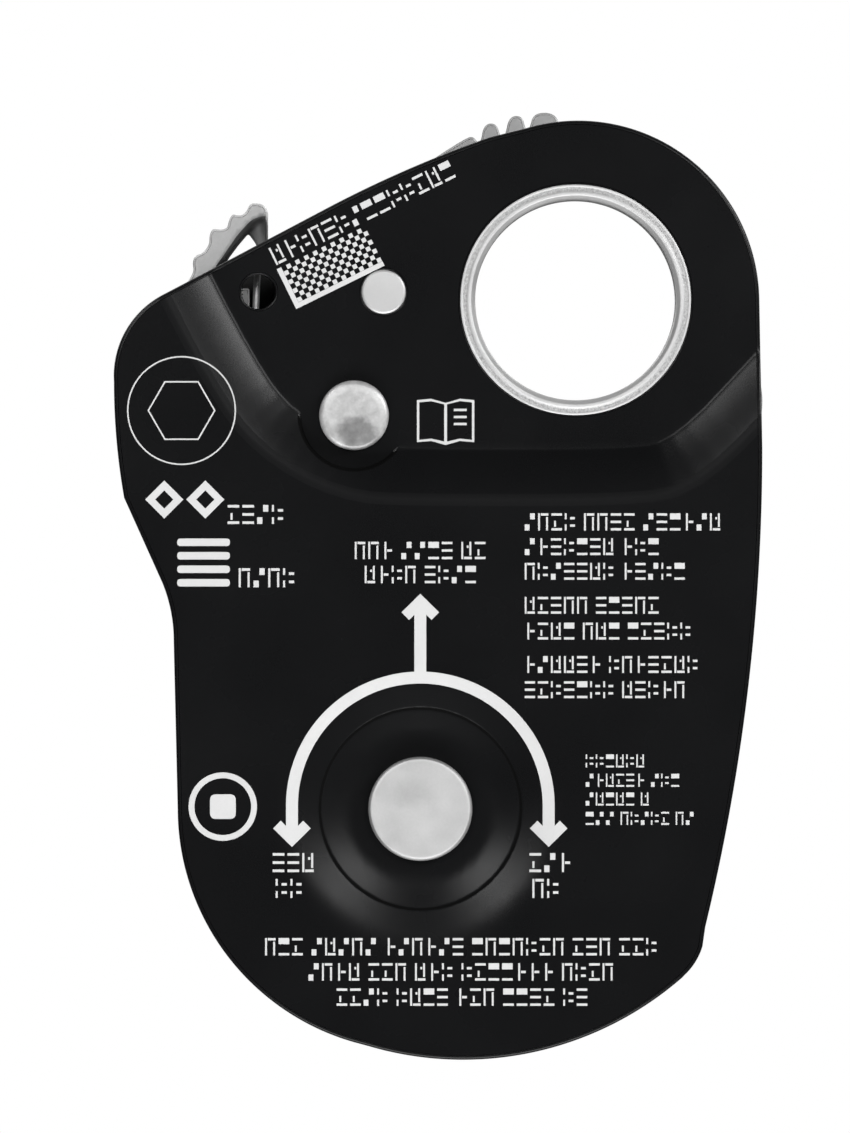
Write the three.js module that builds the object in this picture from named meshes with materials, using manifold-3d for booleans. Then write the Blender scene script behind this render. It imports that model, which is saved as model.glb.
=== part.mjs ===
// Compact progress-capture pulley (rope grab). Millimetres, +Z up, origin at the centre of the
// connection eye. The axles run along Y: the fixed rear plate is at -Y, the swinging plate at +Y,
// and y = 0 is the rope's own plane, half way between them.
import * as THREE from 'three';
import { mergeVertices } from 'three/addons/utils/BufferGeometryUtils.js';
import Module from 'manifold-3d';

const wasm = await Module();
wasm.setup();

// ---------- Driving dimensions ----------
const AXLE = { x: -13.26, z: -43.44 };
const CAM_PIVOT = { x: -18.92, z: -9.86 };
const STOP_PIN = { x: -16.39, z: 0.68 };
const WINDOW = { x: -27.07, z: 0.7 };
const CAM_OPEN_DEG = 35;

const PLATE_THICKNESS = 2.5;
const MAIN_INNER = 7.0;
const EYE_INNER = 5.0;
const MAIN_OUTER = MAIN_INNER + PLATE_THICKNESS;
const EYE_OUTER = EYE_INNER + PLATE_THICKNESS;
const JOGGLE_WIDTH = 3.0;
const SWING_INSET = 0.35;

const EYE_BORE_RADIUS = 8.57;
const EYE_BUSH_RADIUS = 9.77;
const PLATE_HOLE_GAP = 0.1;
const RIVET_POCKET_RADIUS = 4.65;
const WINDOW_RADIUS = 1.48;
const STOP_PIN_RADIUS = 1.87;

const DISH_DEPTH = 1.3;
const DISH_FLOOR_RADIUS = 6.0;
const DISH_CREASE_RADIUS = 8.57;
const DISH_CREASE_DEPTH = 0.75;
const DISH_RADIUS = 11.9;

const TREAD_RADIUS = 12.5;
const FLANGE_RADIUS = 17.0;
const FLANGE_HALF_WIDTH = 6.4;
const HUB_HALF_WIDTH = 4.4;

const AXLE_RADIUS = 4.0;
const RACE_HALF_WIDTH = 3.0;
const RACE_OUTER_RADIUS = 9.5;
const BALL_RADIUS = 1.5875;
const BALL_PITCH_RADIUS = 6.75;
const BALL_GROOVE_RADIUS = 1.65;
const BALL_COUNT = 8;

const CAM_HALF_WIDTH = 3.5;
const CAM_BORE_RADIUS = 3.4;
const CAM_AXLE_RADIUS = 2.5;
const CAM_HUB_RADIUS = 6.4;
const CAM_FACE_RADIUS = 20.4;
const CAM_FACE_GROWTH = 0.11;
const CAM_TOOTH_DEPTH = 0.7;
const CAM_TOOTH_COUNT = 9;

const SPRING_WIRE_RADIUS = 0.3;
const SPRING_COIL_RADIUS = 4.75;
const SPRING_FIXED_Y = -2.95;
const SPRING_MOVING_Y = -4.45;
const SPRING_COIL_DEG = 855;

const BUTTON_PIN_RADIUS = 0.9;
const BUTTON_HEAD_RADIUS = 1.85;
const BUTTON_BORE_FLOOR = -2.3;

const LARGE_SEGMENTS = 40;
const AXLE_SEGMENTS = 28;
const SMALL_SEGMENTS = 18;
const OUTLINE_SEGMENTS = 6;
const REAR = -1;
const FRONT = 1;

// ---------- Materials ----------
const metal = (color, roughness, metalness) => new THREE.MeshStandardMaterial({ color, roughness, metalness });
const blackAnodised = metal(0x16161a, 0.45, 0.6);
const greyAnodised = metal(0x9b9da0, 0.4, 0.8);
const rivetSteel = metal(0xc9cac8, 0.3, 1.0);
const castSteel = metal(0xb4b5b4, 0.45, 0.9);
const bearingSteel = metal(0xd2d4d6, 0.15, 1.0);
const springSteel = metal(0xa9abac, 0.25, 1.0);
const sheaveAluminium = metal(0xbfc1c4, 0.3, 0.9);
const bushBronze = metal(0x9a7b4c, 0.4, 0.8);
const sealRubber = metal(0x1b1b1b, 0.8, 0.0);
const cageBrass = metal(0xb08d4a, 0.4, 0.9);

// ---------- Geometry helpers ----------
const radians = THREE.MathUtils.degToRad;

function polar(centre, radius, degrees) {
  const angle = radians(degrees);
  return { x: centre.x + radius * Math.cos(angle), z: centre.z + radius * Math.sin(angle) };
}

function toSolid(geometry) {
  const bare = geometry.clone();
  bare.deleteAttribute('normal');
  bare.deleteAttribute('uv');
  const merged = mergeVertices(bare, 1e-4);
  const source = merged.index.array;
  const triangles = [];
  for (let i = 0; i < source.length; i += 3) {
    const [a, b, c] = [source[i], source[i + 1], source[i + 2]];
    if (a !== b && b !== c && a !== c) {
      triangles.push(a, b, c);
    }
  }
  const vertProperties = new Float32Array(merged.attributes.position.array);
  const triVerts = new Uint32Array(triangles);
  return new wasm.Manifold(new wasm.Mesh({ numProp: 3, vertProperties, triVerts }));
}

function toGeometry(solid) {
  const mesh = solid.getMesh();
  const geometry = new THREE.BufferGeometry();
  geometry.setAttribute('position', new THREE.BufferAttribute(new Float32Array(mesh.vertProperties), 3));
  geometry.setIndex(new THREE.BufferAttribute(new Uint32Array(mesh.triVerts), 1));
  geometry.computeVertexNormals();
  return geometry;
}

// A flat shape drawn in (x, z) as a slab between two y values.
function slab(shape, y0, y1, options = {}) {
  const settings = { depth: y1 - y0, bevelEnabled: false, curveSegments: OUTLINE_SEGMENTS, ...options };
  const geometry = new THREE.ExtrudeGeometry(shape, settings);
  geometry.rotateX(Math.PI / 2);
  geometry.translate(0, y1, 0);
  return toSolid(geometry);
}

// A profile of [radius, y] points turned round an axle that stands at a place in the (x, z) plane.
function turned(profile, place, segments = LARGE_SEGMENTS) {
  const points = profile.map(([r, y]) => new THREE.Vector2(r, y));
  if (THREE.ShapeUtils.area(points) < 0) {
    points.reverse();
  }
  const isRing = profile.every(([r]) => r > 0);
  if (isRing) {
    points.push(points[0].clone());
  }
  const geometry = new THREE.LatheGeometry(points, segments);
  geometry.translate(place.x, 0, place.z);
  return toSolid(geometry);
}

function rod(radius, y0, y1, place, segments = SMALL_SEGMENTS) {
  return turned([[0, y0], [radius, y0], [radius, y1], [0, y1]], place, segments);
}

function ring(inner, outer, y0, y1, place, segments = LARGE_SEGMENTS) {
  return turned([[inner, y0], [outer, y0], [outer, y1], [inner, y1]], place, segments);
}

function box(x0, x1, y0, y1, z0, z1) {
  const geometry = new THREE.BoxGeometry(x1 - x0, y1 - y0, z1 - z0);
  geometry.translate((x0 + x1) / 2, (y0 + y1) / 2, (z0 + z1) / 2);
  return toSolid(geometry);
}

// A wire along a list of points, with flat ends.
function wire(points, radius, sides, steps) {
  const section = new THREE.Shape();
  section.absarc(0, 0, radius, 0, 2 * Math.PI, false);
  const path = new THREE.CatmullRomCurve3(points, false, 'centripetal');
  const settings = { steps, extrudePath: path, bevelEnabled: false, curveSegments: sides / 2 };
  return toSolid(new THREE.ExtrudeGeometry(section, settings));
}

function cut(solid, ...tools) {
  return tools.reduce((left, tool) => left.subtract(tool), solid);
}

// Adds a run of arcs to an outline. Straight lines join one arc's end to the next one's start.
function drawArcs(shape, arcs) {
  for (const { x, z, r, from, to } of arcs) {
    shape.absarc(x, z, r, radians(from), radians(to), to < from);
  }
}

function drawPoints(shape, points) {
  for (const [x, z] of points) {
    shape.lineTo(x, z);
  }
}

// ---------- Side plate outlines, counter-clockwise in (x, z) ----------
function lowerOutline(inset) {
  return [
    { x: -47.3, z: -29.08, r: 13 + inset, from: 22.3, to: 0 },
    { ...AXLE, r: 20.7 - inset, from: 180, to: 256 },
    { x: -9.62, z: -36.4, r: 28.45 - inset, from: 253.5, to: 311.3 },
    { x: 5.46, z: -53.54, r: 5.6 - inset, from: 312, to: 343 },
  ];
}

function rearOutline() {
  const outline = new THREE.Shape();
  drawArcs(outline, [
    { x: -157.58, z: -12.71, r: 173.5, from: -13.6, to: 0 },
    { x: 0.21, z: -0.17, r: 15.48, from: 1, to: 107 },
    { x: 26.35, z: -82.39, r: 102, from: 109.3, to: 117.9 },
    { x: -31.66, z: -6.47, r: 7.76, from: 117.9, to: 180 },
    { x: 17.6, z: -7.0, r: 57, from: 180, to: 190 },
    ...lowerOutline(0),
  ]);
  return outline;
}

// The swinging plate has thumb ridges on its top edge. Its left side stops short of the cam's
// thumb lever and hold-open button.
const THUMB_RIDGES = [
  [-1.64, 15.44], [-2.54, 16.1], [-3.33, 15.95], [-4.12, 15.27], [-5.07, 15.82], [-6.18, 14.6],
  [-7.17, 15.07], [-8.15, 13.73], [-8.85, 13.93], [-12.33, 11.87],
];

function swingOutline() {
  const outline = new THREE.Shape();
  drawArcs(outline, [
    { x: -157.58, z: -12.71, r: 173.5 - SWING_INSET, from: -13.6, to: -1.5 },
    { x: 9.1, z: -8.6, r: 7.0, from: -25, to: 25 },
    { x: 0.21, z: -0.17, r: 15.2, from: 5, to: 95 },
  ]);
  drawPoints(outline, THUMB_RIDGES);
  drawArcs(outline, [
    { x: 26.35, z: -82.39, r: 102 - SWING_INSET, from: 113, to: 117.5 },
    { x: -21.5, z: 5.2, r: 1.9, from: 115, to: 180 },
    { ...AXLE, r: 30.3, from: 109.5, to: 135 },
    { x: -33.95, z: -23.5, r: 1.2, from: 137, to: 202.3 },
    ...lowerOutline(SWING_INSET),
  ]);
  return outline;
}

// The eye part of each plate is stepped in towards the rope. This is the step's inside corner.
const EYE_ZONE = [
  [-34.0, 8.0], [-27.2, -5.3], [-24.0, -9.5], [-18.9, -12.3], [-14.0, -12.62], [5.5, -12.62],
  [8.4, -12.0], [15.1, -4.7], [21.0, 1.8], [21.0, 24.0], [-34.0, 24.0],
];

function eyeZoneTaper(yNarrow, yWide, side) {
  const zone = new THREE.Shape(EYE_ZONE.map(([x, z]) => new THREE.Vector2(x, z)));
  const rise = Math.abs(yWide - yNarrow);
  const bevel = { bevelEnabled: true, bevelThickness: rise, bevelSize: JOGGLE_WIDTH, bevelSegments: 1 };
  const straight = PLATE_THICKNESS;
  const [low, high] = side === REAR ? [-yWide - straight, -yWide] : [yWide, yWide + straight];
  return slab(zone, low, high, bevel);
}

function dishTool(surface, depthSign, side) {
  const floor = surface - DISH_DEPTH;
  const crease = surface - DISH_CREASE_DEPTH;
  const far = surface + depthSign;
  const profile = [[0, floor], [DISH_FLOOR_RADIUS, floor], [DISH_CREASE_RADIUS, crease]];
  profile.push([DISH_RADIUS, surface], [DISH_RADIUS, far], [0, far]);
  return turned(profile.map(([r, y]) => [r, side * y]), AXLE);
}

// A pressed plate of even thickness: stepped in at the eye and dished in round the axle.
function pressedPlate(outline, side, axleHoleRadius) {
  const [low, high] = side === REAR ? [-MAIN_OUTER, -MAIN_INNER] : [MAIN_INNER, MAIN_OUTER];
  const [lowAll, highAll] = side === REAR ? [-MAIN_OUTER, -EYE_INNER] : [EYE_INNER, MAIN_OUTER];
  const main = slab(outline, low, high);
  const raised = eyeZoneTaper(EYE_INNER, MAIN_INNER, side).intersect(slab(outline, lowAll, highAll));
  const body = main.add(raised).add(dishTool(MAIN_INNER, PLATE_THICKNESS / 2, side));
  const outside = MAIN_OUTER + 2 * JOGGLE_WIDTH;
  const pocket = side * outside < 0 ? [-outside, -EYE_OUTER] : [EYE_OUTER, outside];
  return cut(
    body,
    eyeZoneTaper(EYE_OUTER, MAIN_OUTER, side),
    dishTool(MAIN_OUTER, JOGGLE_WIDTH, side),
    rod(RIVET_POCKET_RADIUS, ...pocket, CAM_PIVOT, LARGE_SEGMENTS),
    rod(EYE_BUSH_RADIUS + PLATE_HOLE_GAP, -outside, outside, { x: 0, z: 0 }, LARGE_SEGMENTS),
    rod(axleHoleRadius, -outside, outside, AXLE, LARGE_SEGMENTS),
  );
}

function rearSidePlate() {
  const plate = pressedPlate(rearOutline(), REAR, AXLE_RADIUS + PLATE_HOLE_GAP);
  const through = [-MAIN_OUTER - 1, 0];
  return cut(
    plate,
    rod(CAM_AXLE_RADIUS + PLATE_HOLE_GAP, ...through, CAM_PIVOT),
    rod(STOP_PIN_RADIUS + PLATE_HOLE_GAP, ...through, STOP_PIN),
    rod(WINDOW_RADIUS, ...through, WINDOW),
  );
}

// The notch lets the plate swing off the cam axle's neck, behind its front head.
function swingSidePlate() {
  const plate = pressedPlate(swingOutline(), FRONT, 5.0);
  const reach = { y0: 0, y1: MAIN_OUTER + 1 };
  const sweep = new THREE.Shape();
  drawArcs(sweep, [
    { ...AXLE, r: 37.0, from: 100.5, to: 150 },
    { ...AXLE, r: 30.4, from: 150, to: 100.5 },
  ]);
  const seat = rod(CAM_AXLE_RADIUS + 0.4, reach.y0, reach.y1, CAM_PIVOT);
  return cut(plate, seat, slab(sweep, reach.y0, reach.y1, { curveSegments: 2 * OUTLINE_SEGMENTS }));
}

// ---------- Connection eye ----------
function eyeBush(side) {
  const outer = EYE_OUTER + 0.25;
  const profile = [
    [EYE_BORE_RADIUS, EYE_INNER + 0.3], [EYE_BORE_RADIUS, outer - 0.5], [EYE_BORE_RADIUS + 0.4, outer],
    [EYE_BUSH_RADIUS, outer], [EYE_BUSH_RADIUS, EYE_INNER - 0.1], [EYE_BORE_RADIUS + 0.4, EYE_INNER - 0.1],
  ];
  return turned(profile.map(([r, y]) => [r, side * y]), { x: 0, z: 0 });
}

// ---------- Sheave, bearing and axle ----------
function sheaveAxle() {
  return turned([
    [0, -9.3], [4.24, -9.3], [4.44, -9.1], [4.44, -8.3], [AXLE_RADIUS, -8.3], [AXLE_RADIUS, 8.7],
    [6.0, 8.7], [6.0, 9.3], [5.7, 9.6], [0, 9.6],
  ], AXLE, AXLE_SEGMENTS);
}

function sheave() {
  const half = [
    [HUB_HALF_WIDTH, TREAD_RADIUS - 0.1], [FLANGE_HALF_WIDTH, TREAD_RADIUS + 0.5],
    [FLANGE_HALF_WIDTH, FLANGE_RADIUS - 0.4], [FLANGE_HALF_WIDTH - 0.3, FLANGE_RADIUS],
    [FLANGE_HALF_WIDTH - 0.5, FLANGE_RADIUS], [FLANGE_HALF_WIDTH - 0.9, FLANGE_RADIUS - 0.7],
    [4.1, TREAD_RADIUS + 0.7], [3.2, TREAD_RADIUS],
  ];
  const bore = RACE_OUTER_RADIUS + 0.05;
  const stop = RACE_HALF_WIDTH + 0.05;
  const rear = [[bore, -stop], [8.8, -stop], [8.8, -HUB_HALF_WIDTH]];
  const front = [[bore, HUB_HALF_WIDTH], [bore, 3.6], [10.1, 3.6], [10.1, stop], [bore, stop]];
  const rearHalf = half.map(([y, r]) => [r, -y]);
  const frontHalf = half.map(([y, r]) => [r, y]).reverse();
  return turned([...rear, ...rearHalf, ...frontHalf, ...front], AXLE);
}

// A bearing race: a ring with a round groove for the balls in the land that faces them.
function race(plainRadius, landRadius) {
  const side = Math.sign(landRadius - BALL_PITCH_RADIUS);
  const reach = Math.acos(Math.abs(landRadius - BALL_PITCH_RADIUS) / BALL_GROOVE_RADIUS);
  const profile = [[plainRadius, RACE_HALF_WIDTH], [plainRadius, -RACE_HALF_WIDTH]];
  profile.push([landRadius, -RACE_HALF_WIDTH]);
  const steps = 4;
  for (let i = 0; i <= steps; i += 1) {
    const angle = reach * (2 * i / steps - 1);
    const radius = BALL_PITCH_RADIUS + side * BALL_GROOVE_RADIUS * Math.cos(angle);
    profile.push([radius, BALL_GROOVE_RADIUS * Math.sin(angle)]);
  }
  profile.push([landRadius, RACE_HALF_WIDTH]);
  return turned(profile, AXLE, AXLE_SEGMENTS);
}

const ballPlace = (i) => polar(AXLE, BALL_PITCH_RADIUS, 360 * i / BALL_COUNT);

function ball(place, radius = BALL_RADIUS) {
  const geometry = new THREE.SphereGeometry(radius, 10, 6);
  geometry.translate(place.x, 0, place.z);
  return toSolid(geometry);
}

function bearingCage() {
  const pockets = Array.from({ length: BALL_COUNT }, (_, i) => ball(ballPlace(i), BALL_RADIUS + 0.15));
  return cut(ring(6.45, 7.05, -2.3, 2.3, AXLE), ...pockets);
}

// An open retaining ring that holds the bearing in the sheave.
function retainingRing() {
  const shape = new THREE.Shape();
  drawArcs(shape, [
    { ...AXLE, r: 10.0, from: -75, to: 255 },
    { ...AXLE, r: 8.7, from: 255, to: -75 },
  ]);
  return slab(shape, 3.12, 3.52, { curveSegments: 16 });
}

// ---------- Cam ----------
const BUTTON = (() => {
  const dx = WINDOW.x - CAM_PIVOT.x;
  const dz = WINDOW.z - CAM_PIVOT.z;
  const bearing = THREE.MathUtils.radToDeg(Math.atan2(dz, dx));
  return polar(CAM_PIVOT, Math.hypot(dx, dz), bearing + CAM_OPEN_DEG);
})();

// The toothed face is a spiral about the pivot: it grows towards the free strand's side, so that
// the loaded rope drags the cam shut. Angles count from the line to the sheave axle.
function camFacePoints() {
  const toAxle = Math.atan2(AXLE.z - CAM_PIVOT.z, AXLE.x - CAM_PIVOT.x);
  const [start, end] = [24, -10];
  const points = [];
  for (let i = 0; i <= CAM_TOOTH_COUNT * 2; i += 1) {
    const phi = start + (end - start) * i / (CAM_TOOTH_COUNT * 2);
    const tip = i % 2 === 1 ? 0 : CAM_TOOTH_DEPTH;
    const radius = CAM_FACE_RADIUS + CAM_FACE_GROWTH * phi - tip;
    const place = polar(CAM_PIVOT, radius, THREE.MathUtils.radToDeg(toAxle) - phi);
    points.push([place.x, place.z]);
  }
  return points;
}

function camOutline() {
  const outline = new THREE.Shape();
  drawArcs(outline, [{ ...CAM_PIVOT, r: CAM_HUB_RADIUS, from: -5, to: 95 }]);
  drawPoints(outline, [[-21.4, -3.3], [-24.0, -1.9], [-24.85, 0.0], [-24.8, 2.6], [-26.31, 5.2]]);
  drawArcs(outline, [{ x: -27.16, z: 7.42, r: 0.85, from: 0, to: 100 }]);
  drawPoints(outline, [
    [-28.3, 7.35], [-28.9, 7.25], [-29.3, 7.12], [-29.6, 6.6], [-30.3, 6.1], [-30.96, 5.8], [-31.2, 5.2],
    [-31.9, 4.2], [-32.46, 3.5], [-32.6, 2.9], [-33.4, 1.4], [-34.6, -1.5],
  ]);
  drawArcs(outline, [{ ...BUTTON, r: 3.6, from: 170, to: 290 }]);
  drawPoints(outline, [[-27.0, -11.5], [-25.6, -16.5], [-26.2, -24.0], ...camFacePoints()]);
  return outline;
}

// The thumb lever is pressed thin behind its rim. A triangle goes right through near its tip, and
// a deeper recess below holds the finger that the spring's long leg bears on.
const LEVER_TRIANGLE = [
  [-27.98, 5.82], [-28.93, 4.75], [-29.76, 3.68], [-30.2, 2.95], [-26.6, 2.95], [-27.28, 4.88],
];
const LEVER_DISHING = [
  [-26.75, 6.9], [-27.7, 6.7], [-28.93, 5.4], [-30.0, 3.8], [-30.8, 2.6], [-25.4, 2.6], [-26.2, 5.2],
];
const LEVER_RECESS = [
  [-30.8, 2.9], [-30.3, -0.9], [-28.6, -1.9], [-25.4, -1.6], [-25.4, 2.9],
];

function flatShape(points) {
  return new THREE.Shape(points.map(([x, z]) => new THREE.Vector2(x, z)));
}

function cam() {
  const body = slab(camOutline(), -CAM_HALF_WIDTH, CAM_HALF_WIDTH);
  const beyond = CAM_HALF_WIDTH + 1;
  const hollowed = cut(
    body,
    slab(flatShape(LEVER_TRIANGLE), -beyond, beyond),
    slab(flatShape(LEVER_DISHING), -beyond, -CAM_HALF_WIDTH + 1.2),
    slab(flatShape(LEVER_RECESS), -beyond, 0.8),
    rod(CAM_BORE_RADIUS, -beyond, beyond, CAM_PIVOT, AXLE_SEGMENTS),
    rod(CAM_HUB_RADIUS + 0.2, -beyond, -2.3, CAM_PIVOT, LARGE_SEGMENTS),
    rod(BUTTON_PIN_RADIUS + 0.1, -beyond, beyond, BUTTON),
    rod(BUTTON_HEAD_RADIUS + 0.15, BUTTON_BORE_FLOOR, beyond, BUTTON),
  );
  return hollowed.add(box(-28.7, -27.85, -4.7, 1.0, -0.6, 1.0));
}

function camAxle() {
  return turned([
    [0, -8.4], [2.2, -8.35], [2.8, -8.1], [3.0, -7.8], [3.0, -7.6], [CAM_AXLE_RADIUS, -7.6],
    [CAM_AXLE_RADIUS, 3.7], [3.6, 3.7], [3.6, 4.8], [CAM_AXLE_RADIUS, 4.8], [CAM_AXLE_RADIUS, 7.7],
    [3.4, 7.7], [3.4, 8.3], [3.0, 8.7], [0, 8.7],
  ], CAM_PIVOT, SMALL_SEGMENTS);
}

// A torsion spring: a hook over the stop pin, a coil round the cam axle, and a long leg that
// passes behind the window and pushes the cam shut.
function camSpring() {
  const points = [];
  const hook = SPRING_WIRE_RADIUS + STOP_PIN_RADIUS + 0.05;
  for (const degrees of [80, 55, 30]) {
    const place = polar(STOP_PIN, hook, degrees);
    points.push(new THREE.Vector3(place.x, SPRING_FIXED_Y, place.z));
  }
  const fixedX = CAM_PIVOT.x + SPRING_COIL_RADIUS;
  points.push(new THREE.Vector3(fixedX, SPRING_FIXED_Y, STOP_PIN.z));
  points.push(new THREE.Vector3(fixedX, SPRING_FIXED_Y, STOP_PIN.z - 5));
  const steps = Math.round(SPRING_COIL_DEG / 30);
  for (let i = 0; i <= steps; i += 1) {
    const share = i / steps;
    const place = polar(CAM_PIVOT, SPRING_COIL_RADIUS, -SPRING_COIL_DEG * share);
    const y = THREE.MathUtils.lerp(SPRING_FIXED_Y, SPRING_MOVING_Y, share);
    points.push(new THREE.Vector3(place.x, y, place.z));
  }
  const leg = [[-25.9, -9.6], [-27.1, -8.0], [-27.45, -6.5], [-27.42, -3.0], [-27.15, 3.2]];
  for (const [x, z] of leg) {
    points.push(new THREE.Vector3(x, SPRING_MOVING_Y, z));
  }
  return wire(points, SPRING_WIRE_RADIUS, 6, 76);
}

// ---------- Hold-open button ----------
function holdOpenButton() {
  return turned([
    [0, -4.7], [0.7, -4.7], [BUTTON_PIN_RADIUS, -4.45], [BUTTON_PIN_RADIUS, -4.2], [0.6, -4.2], [0.6, -3.7],
    [BUTTON_PIN_RADIUS, -3.7], [BUTTON_PIN_RADIUS, 1.5], [BUTTON_HEAD_RADIUS, 1.5],
    [BUTTON_HEAD_RADIUS, 5.1], [1.5, 5.55], [0, 5.7],
  ], BUTTON, SMALL_SEGMENTS);
}

function buttonSpring() {
  const turns = 4;
  const stepsPerTurn = 10;
  const coilRadius = 1.43;
  const points = [];
  for (let i = 0; i <= turns * stepsPerTurn; i += 1) {
    const place = polar(BUTTON, coilRadius, 360 * i / stepsPerTurn);
    const y = THREE.MathUtils.lerp(BUTTON_BORE_FLOOR + 0.25, 1.25, i / (turns * stepsPerTurn));
    points.push(new THREE.Vector3(place.x, y, place.z));
  }
  return wire(points, 0.15, 6, turns * stepsPerTurn);
}

// ---------- The assembly ----------
const pulley = new THREE.Group();

function addPiece(name, solid, material) {
  const mesh = new THREE.Mesh(toGeometry(solid), material);
  mesh.name = name;
  pulley.add(mesh);
}

addPiece('rear_side_plate', rearSidePlate(), blackAnodised);
addPiece('rear_eye_bush', eyeBush(REAR), rivetSteel);
addPiece('stop_pin', rod(STOP_PIN_RADIUS, -EYE_OUTER - 0.12, 3.8, STOP_PIN), rivetSteel);
addPiece('sheave_axle', sheaveAxle(), rivetSteel);
addPiece('rear_spacer', ring(4.1, 6.0, -5.6, -3.1, AXLE, AXLE_SEGMENTS), bearingSteel);
addPiece('front_spacer', ring(4.1, 6.0, 3.1, 5.6, AXLE, AXLE_SEGMENTS), bearingSteel);
addPiece('friction_washer', ring(4.15, 6.2, 8.3, 8.6, AXLE, AXLE_SEGMENTS), springSteel);

addPiece('bearing_inner_race', race(AXLE_RADIUS + 0.08, 5.5), bearingSteel);
addPiece('bearing_outer_race', race(RACE_OUTER_RADIUS, 8.0), bearingSteel);
addPiece('bearing_cage', bearingCage(), cageBrass);
for (let i = 0; i < BALL_COUNT; i += 1) {
  addPiece(`bearing_ball_${i + 1}`, ball(ballPlace(i)), bearingSteel);
}
addPiece('bearing_seal_rear', ring(5.65, 7.9, -2.75, -2.45, AXLE, AXLE_SEGMENTS), sealRubber);
addPiece('bearing_seal_front', ring(5.65, 7.9, 2.45, 2.75, AXLE, AXLE_SEGMENTS), sealRubber);
addPiece('sheave', sheave(), sheaveAluminium);
addPiece('sheave_retaining_ring', retainingRing(), springSteel);

addPiece('cam_axle', camAxle(), rivetSteel);
addPiece('cam', cam(), castSteel);
addPiece('cam_bush', ring(CAM_AXLE_RADIUS + 0.08, CAM_BORE_RADIUS - 0.1, -2.2, 3.3, CAM_PIVOT, AXLE_SEGMENTS), bushBronze);
addPiece('cam_spring', camSpring(), springSteel);
addPiece('hold_open_button', holdOpenButton(), bearingSteel);
addPiece('button_spring', buttonSpring(), springSteel);
addPiece('button_clip', ring(0.7, 1.35, -4.15, -3.75, BUTTON, SMALL_SEGMENTS), springSteel);

addPiece('swing_side_plate', swingSidePlate(), greyAnodised);
addPiece('swing_plate_bush', ring(AXLE_RADIUS + 0.08, 4.9, 5.66, 8.24, AXLE, AXLE_SEGMENTS), bushBronze);
addPiece('swing_eye_bush', eyeBush(FRONT), rivetSteel);

export default pulley;
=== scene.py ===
import math
import random

import bpy
import numpy as np
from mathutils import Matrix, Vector
from mathutils.geometry import delaunay_2d_cdt


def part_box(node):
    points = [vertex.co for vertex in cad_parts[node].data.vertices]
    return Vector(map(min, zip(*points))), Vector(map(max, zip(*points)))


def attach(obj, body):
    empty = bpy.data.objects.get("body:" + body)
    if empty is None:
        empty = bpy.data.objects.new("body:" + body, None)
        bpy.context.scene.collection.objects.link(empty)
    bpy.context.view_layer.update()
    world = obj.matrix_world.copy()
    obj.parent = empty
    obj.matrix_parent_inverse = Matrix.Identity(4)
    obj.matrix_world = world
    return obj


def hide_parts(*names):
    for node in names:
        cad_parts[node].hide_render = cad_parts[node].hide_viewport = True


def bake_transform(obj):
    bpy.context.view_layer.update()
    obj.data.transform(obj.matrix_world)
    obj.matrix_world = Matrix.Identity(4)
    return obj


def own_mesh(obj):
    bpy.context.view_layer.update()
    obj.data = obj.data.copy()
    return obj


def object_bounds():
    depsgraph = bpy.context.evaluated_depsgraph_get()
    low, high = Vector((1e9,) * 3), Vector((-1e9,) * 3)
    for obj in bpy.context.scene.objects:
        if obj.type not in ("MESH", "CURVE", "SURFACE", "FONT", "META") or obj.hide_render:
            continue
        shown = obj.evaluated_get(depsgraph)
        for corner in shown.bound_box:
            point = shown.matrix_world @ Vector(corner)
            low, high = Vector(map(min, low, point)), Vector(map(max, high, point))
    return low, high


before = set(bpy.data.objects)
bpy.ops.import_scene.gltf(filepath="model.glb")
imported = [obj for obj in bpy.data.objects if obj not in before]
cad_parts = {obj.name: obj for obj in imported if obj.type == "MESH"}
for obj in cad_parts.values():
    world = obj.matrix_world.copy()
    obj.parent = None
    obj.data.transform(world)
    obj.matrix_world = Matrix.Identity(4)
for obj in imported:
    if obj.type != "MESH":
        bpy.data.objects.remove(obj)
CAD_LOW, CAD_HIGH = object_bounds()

# Shapes are drawn in millimetres in the CAD frame: x to the right, z up, y along the axles, with
# the rear plate at -y. Meshes are made in metres.
MM = 0.001


def centre_of(node):
    low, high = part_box(node)
    return (low.x + high.x) / 2 / MM, (low.z + high.z) / 2 / MM


def y_range(node):
    low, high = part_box(node)
    return low.y / MM, high.y / MM


EYE = centre_of("rear_eye_bush")
AXLE = centre_of("rear_spacer")
CAM_PIVOT = centre_of("cam_axle")
STOP_PIN = centre_of("stop_pin")
BUTTON = centre_of("hold_open_button")
CAM_OPEN = math.radians(35)

MAIN_OUTER = -y_range("rear_side_plate")[0]
EYE_INNER = -y_range("rear_side_plate")[1]
PLATE_THICKNESS = 2.5
EYE_DEPTH = MAIN_OUTER - PLATE_THICKNESS - EYE_INNER
JOGGLE_WIDTH = 4.53
DISH_DEPTH = 1.3
DISH_FLOOR_RISE = 0.6
DISH_FLAT = 6.2
DISH_CREASE = 8.57
DISH_EDGE = 11.6
POCKET_RADIUS = 4.62


def turned_about(point, pivot, angle):
    dx, dz = point[0] - pivot[0], point[1] - pivot[1]
    c, s = math.cos(angle), math.sin(angle)
    return pivot[0] + dx * c - dz * s, pivot[1] + dx * s + dz * c


WINDOW = turned_about(BUTTON, CAM_PIVOT, -CAM_OPEN)

# --- Outlines ---


def arc(centre, radius, start, end, step=0.35):
    """Points of an arc, in degrees from start to end either way round."""
    length = abs(math.radians(end - start)) * radius
    count = max(4, int(length / step))
    angles = np.radians(np.linspace(start, end, count + 1))
    return [(centre[0] + radius * math.cos(a), centre[1] + radius * math.sin(a)) for a in angles]


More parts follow.
